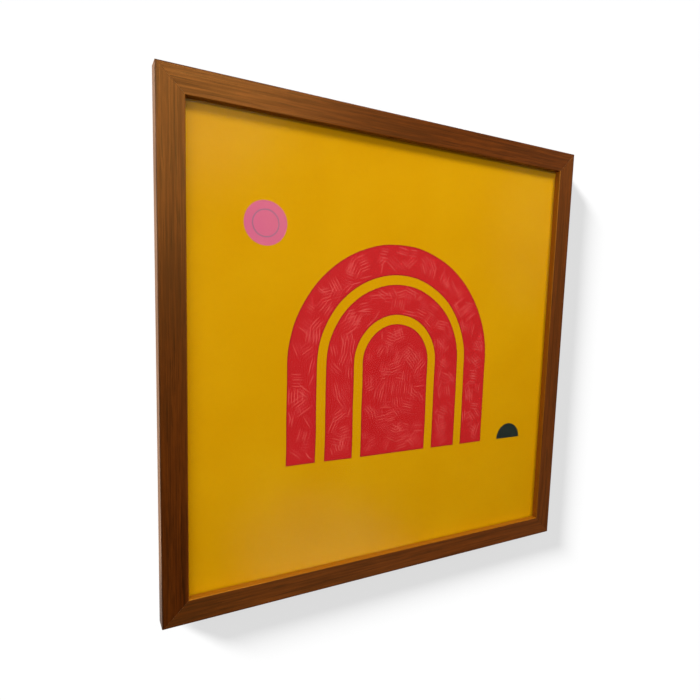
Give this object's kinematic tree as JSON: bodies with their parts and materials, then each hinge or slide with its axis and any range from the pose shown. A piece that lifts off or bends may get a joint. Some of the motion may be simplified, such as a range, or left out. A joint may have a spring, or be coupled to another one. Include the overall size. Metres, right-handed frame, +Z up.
{
  "type": "framed picture",
  "caption": "Square framed print under clear glazing: a flat-faced, mitred wooden moulding with a rabbet, a backing board and a sawtooth hanger for the wall",
  "frame": {"origin": "the top of the hanger's middle notch, in the plane of the wall, where the wall's nail bears", "axes": "X runs across the picture, left to right as a viewer sees it; Y runs from the picture's front to the wall; Z is up"},
  "size_m": [0.436, 0.019, 0.436],
  "materials": {
    "moulding_wood": "satin brown stain, straight grain",
    "clear_glazing": "clear, smooth",
    "printed_paper": "matte print in flat colours",
    "hardboard": "pressed fibreboard, matte",
    "tab_steel": "blackened, satin",
    "nail_steel": "bright zinc",
    "hanger_brass": "brass-plated steel",
    "bumper_rubber": "soft, matte"
  },
  "bodies": {
    "root": {"top_rail": "moulding_wood", "right_stile": "moulding_wood", "bottom_rail": "moulding_wood", "left_stile": "moulding_wood", "corner_nail_1": "nail_steel", "corner_nail_2": "nail_steel", "corner_nail_3": "nail_steel", "corner_nail_4": "nail_steel", "glazing": "clear_glazing", "art_print": "printed_paper", "backing_board": "hardboard", "retaining_tab_01": "tab_steel", "retaining_tab_02": "tab_steel", "retaining_tab_03": "tab_steel", "retaining_tab_04": "tab_steel", "retaining_tab_05": "tab_steel", "retaining_tab_06": "tab_steel", "retaining_tab_07": "tab_steel", "retaining_tab_08": "tab_steel", "retaining_tab_09": "tab_steel", "retaining_tab_10": "tab_steel", "retaining_tab_11": "tab_steel", "retaining_tab_12": "tab_steel", "sawtooth_hanger": "hanger_brass", "hanger_nail_left": "nail_steel", "hanger_nail_right": "nail_steel", "wall_bumper_left": "bumper_rubber", "wall_bumper_right": "bumper_rubber"}
  },
  "joints": []
}
